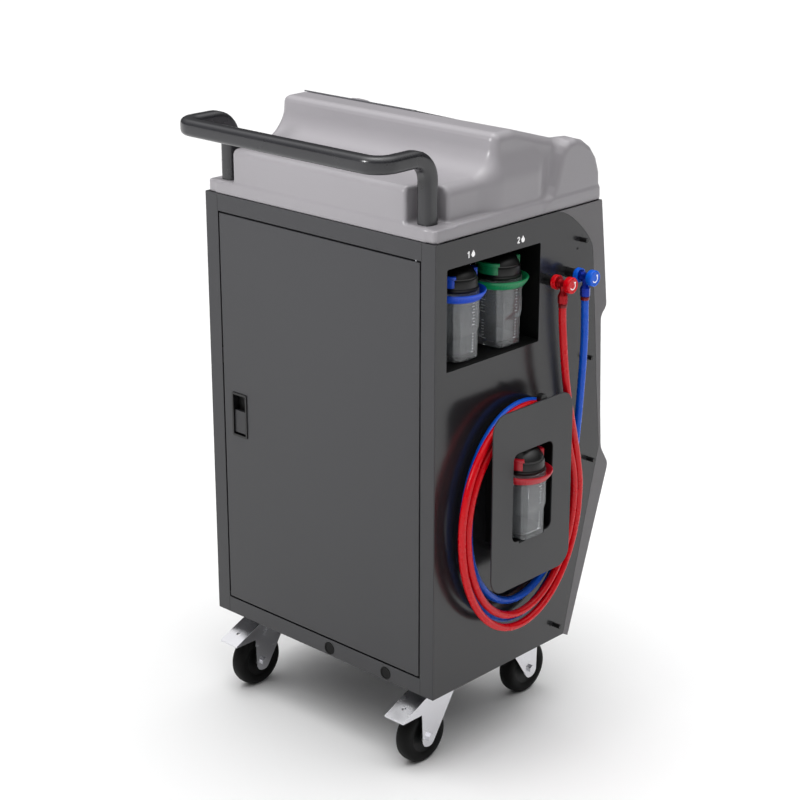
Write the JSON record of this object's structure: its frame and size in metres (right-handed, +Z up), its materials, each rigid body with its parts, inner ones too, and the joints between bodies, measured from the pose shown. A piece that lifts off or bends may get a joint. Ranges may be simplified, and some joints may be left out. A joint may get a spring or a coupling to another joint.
{
  "type": "refrigerant recovery machine",
  "caption": "Tall sheet-steel cabinet on swivel casters with a moulded top tray, push handle, rear door, oil bottles in a side niche and coiled red and blue service hoses with quick couplers.",
  "frame": {"origin": "on the floor, under the middle of the machine's bounding box without its hoses", "axes": "+Z up, +Y towards the rear with the door and handle, -X towards the side with the hoses and bottles"},
  "size_m": [0.623, 0.552, 1.0717],
  "materials": {
    "dark_steel": "satin dark-grey powder coat",
    "fascia_grey": "fine-textured moulded plastic",
    "tray_grey": "light-grey moulded plastic",
    "gloss_black": "gloss black tube",
    "black_plastic": "black moulded plastic",
    "screen": "dark glossy screen",
    "zinc": "bright zinc plate",
    "tyre_black": "black rubber",
    "hose_red": "glossy red hose",
    "hose_blue": "glossy blue hose",
    "coupler_red": "red anodised and moulded",
    "coupler_blue": "blue anodised and moulded",
    "jar_clear": "clear plastic",
    "ring_blue": "blue moulded plastic",
    "ring_green": "green moulded plastic",
    "ring_red": "red moulded plastic",
    "brass_fitting": "machined brass",
    "tank_grey": "grey enamel",
    "compressor_black": "black enamel",
    "pump_blue": "blue hammered enamel",
    "drier_green": "green enamel",
    "fins": "aluminium fins"
  },
  "bodies": {
    "cabinet": {"base_pan": "dark_steel", "hose_side_panel": "dark_steel", "plain_side_panel": "dark_steel", "rear_frame": "dark_steel", "hanger_plate": "dark_steel", "front_fascia": "fascia_grey", "top_tray": "tray_grey", "push_handle": "gloss_black", "display_bezel": "black_plastic", "bottle_niche": "black_plastic", "bottle_cradle": "black_plastic", "hose_pegs": "black_plastic", "panel_pegs": "black_plastic", "parking_posts": "black_plastic", "power_inlet": "black_plastic", "control_box": "black_plastic", "red_bottle_lid": "black_plastic", "display_glass": "screen", "caster_plates": "zinc", "caster_bolts": "zinc", "magnet_catch": "zinc", "weigh_scale": "zinc", "red_hose_tail": "hose_red", "red_hose_coil": "hose_red", "blue_hose_tail": "hose_blue", "blue_hose_coil": "hose_blue", "red_coupler_body": "coupler_red", "blue_coupler_body": "coupler_blue", "red_bottle_jar": "jar_clear", "hose_fittings": "brass_fitting", "refrigerant_tank": "tank_grey", "compressor": "compressor_black", "vacuum_pump": "pump_blue", "filter_drier": "drier_green", "condenser": "fins"},
    "door": {"door_panel": "dark_steel", "door_pivots": "zinc", "latch_housing": "black_plastic"},
    "latch_paddle": {"latch_paddle": "black_plastic"},
    "red_collar": {"red_coupler_collar": "coupler_red"},
    "red_knob": {"red_coupler_knob": "coupler_red"},
    "blue_collar": {"blue_coupler_collar": "coupler_blue"},
    "blue_knob": {"blue_coupler_knob": "coupler_blue"},
    "rocker": {"rocker_switch": "ring_red"},
    "fan": {"fan_rotor": "black_plastic"},
    "blue_bottle": {"blue_bottle_jar": "jar_clear", "blue_bottle_lid": "black_plastic"},
    "blue_ring": {"blue_bottle_ring": "ring_blue"},
    "green_bottle": {"green_bottle_jar": "jar_clear", "green_bottle_lid": "black_plastic"},
    "green_ring": {"green_bottle_ring": "ring_green"},
    "red_ring": {"red_bottle_ring": "ring_red"},
    "caster_rear_hose": {"fork_rear_hose": "zinc"},
    "wheel_rear_hose": {"wheel_rear_hose": "tyre_black"},
    "caster_rear_plain": {"fork_rear_plain": "zinc"},
    "wheel_rear_plain": {"wheel_rear_plain": "tyre_black"},
    "caster_front_hose": {"fork_front_hose": "zinc"},
    "wheel_front_hose": {"wheel_front_hose": "tyre_black"},
    "caster_front_plain": {"fork_front_plain": "zinc"},
    "wheel_front_plain": {"wheel_front_plain": "tyre_black"}
  },
  "joints": [
    {"name": "door_hinge", "type": "hinge", "parent": "cabinet", "child": "door", "pos_m": [-0.1875, 0.173, 0.535], "axis": [0, 0, 1], "range_deg": [0, 110]},
    {"name": "latch_pull", "type": "hinge", "parent": "door", "child": "latch_paddle", "pos_m": [0.2255, 0.176, 0.506], "axis": [-1, 0, 0], "range_deg": [0, 35], "stiffness_Nm_per_rad": 0.1},
    {"name": "swivel_rear_hose", "type": "hinge", "parent": "cabinet", "child": "caster_rear_hose", "pos_m": [-0.1735, 0.105, 0.134], "axis": [0, 0, 1], "continuous": true},
    {"name": "roll_rear_hose", "type": "hinge", "parent": "caster_rear_hose", "child": "wheel_rear_hose", "pos_m": [-0.1735, 0.147, 0.05], "axis": [1, 0, 0], "continuous": true},
    {"name": "swivel_rear_plain", "type": "hinge", "parent": "cabinet", "child": "caster_rear_plain", "pos_m": [0.2385, 0.105, 0.134], "axis": [0, 0, 1], "continuous": true},
    {"name": "roll_rear_plain", "type": "hinge", "parent": "caster_rear_plain", "child": "wheel_rear_plain", "pos_m": [0.2385, 0.147, 0.05], "axis": [1, 0, 0], "continuous": true},
    {"name": "swivel_front_hose", "type": "hinge", "parent": "cabinet", "child": "caster_front_hose", "pos_m": [-0.1375, -0.123, 0.134], "axis": [0, 0, 1], "continuous": true},
    {"name": "roll_front_hose", "type": "hinge", "parent": "caster_front_hose", "child": "wheel_front_hose", "pos_m": [-0.1375, -0.165, 0.05], "axis": [1, 0, 0], "continuous": true},
    {"name": "swivel_front_plain", "type": "hinge", "parent": "cabinet", "child": "caster_front_plain", "pos_m": [0.2025, -0.123, 0.134], "axis": [0, 0, 1], "continuous": true},
    {"name": "roll_front_plain", "type": "hinge", "parent": "caster_front_plain", "child": "wheel_front_plain", "pos_m": [0.2025, -0.165, 0.05], "axis": [1, 0, 0], "continuous": true},
    {"name": "red_knob_turn", "type": "hinge", "parent": "cabinet", "child": "red_knob", "pos_m": [-0.2845, -0.089, 0.816], "axis": [-1, 0, 0], "range_deg": [0, 270]},
    {"name": "red_collar_pull", "type": "slide", "parent": "cabinet", "child": "red_collar", "axis": [-1, 0, 0], "range_m": [0, 0.003], "stiffness_N_per_m": 400},
    {"name": "blue_knob_turn", "type": "hinge", "parent": "cabinet", "child": "blue_knob", "pos_m": [-0.2845, -0.1475, 0.816], "axis": [-1, 0, 0], "range_deg": [0, 270]},
    {"name": "blue_collar_pull", "type": "slide", "parent": "cabinet", "child": "blue_collar", "axis": [-1, 0, 0], "range_m": [0, 0.003], "stiffness_N_per_m": 400},
    {"name": "rocker_tilt", "type": "hinge", "parent": "cabinet", "child": "rocker", "pos_m": [0.2955, 0.09, 0.244], "axis": [0, -1, 0], "range_deg": [0, 14]},
    {"name": "fan_spin", "type": "hinge", "parent": "cabinet", "child": "fan", "pos_m": [0.2835, -0.005, 0.715], "axis": [1, 0, 0], "continuous": true},
    {"name": "blue_bottle_out", "type": "slide", "parent": "cabinet", "child": "blue_bottle", "axis": [-1, 0, 0], "range_m": [0, 0.15]},
    {"name": "blue_ring_turn", "type": "hinge", "parent": "blue_bottle", "child": "blue_ring", "pos_m": [-0.1925, 0.0875, 0.823], "axis": [0, 0, 1], "range_deg": [0, 90]},
    {"name": "green_bottle_out", "type": "slide", "parent": "cabinet", "child": "green_bottle", "axis": [-1, 0, 0], "range_m": [0, 0.15]},
    {"name": "green_ring_turn", "type": "hinge", "parent": "green_bottle", "child": "green_ring", "pos_m": [-0.1925, -0.0175, 0.823], "axis": [0, 0, 1], "range_deg": [0, 90]},
    {"name": "red_ring_turn", "type": "hinge", "parent": "cabinet", "child": "red_ring", "pos_m": [-0.2625, -0.006, 0.508], "axis": [0, 0, 1], "range_deg": [0, 90]}
  ]
}
